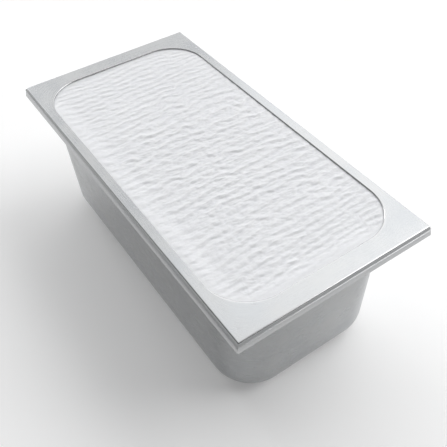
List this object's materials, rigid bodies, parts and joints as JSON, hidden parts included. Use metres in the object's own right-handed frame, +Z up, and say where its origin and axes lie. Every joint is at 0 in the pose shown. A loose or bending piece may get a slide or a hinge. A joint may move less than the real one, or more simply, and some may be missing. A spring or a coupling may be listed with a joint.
{
  "type": "lemon sorbet in a steel display pan",
  "caption": "Oblong stainless-steel ice cream pan with a wide flat flange and a hemmed lip, filled to just under the flange with rippled white lemon sorbet.",
  "frame": {"origin": "middle of the pan's flat base, on the surface that it stands on", "axes": "+X along the pan's length, +Y across its width, +Z up"},
  "size_m": [0.33, 0.165, 0.12],
  "materials": {
    "steel": "satin, deep-drawn stainless sheet with fine scratches from washing",
    "sorbet": "frozen, matt to softly glossy, cool white, rippled on top"
  },
  "bodies": {
    "root": {"pan": "steel", "sorbet": "sorbet"}
  },
  "joints": []
}
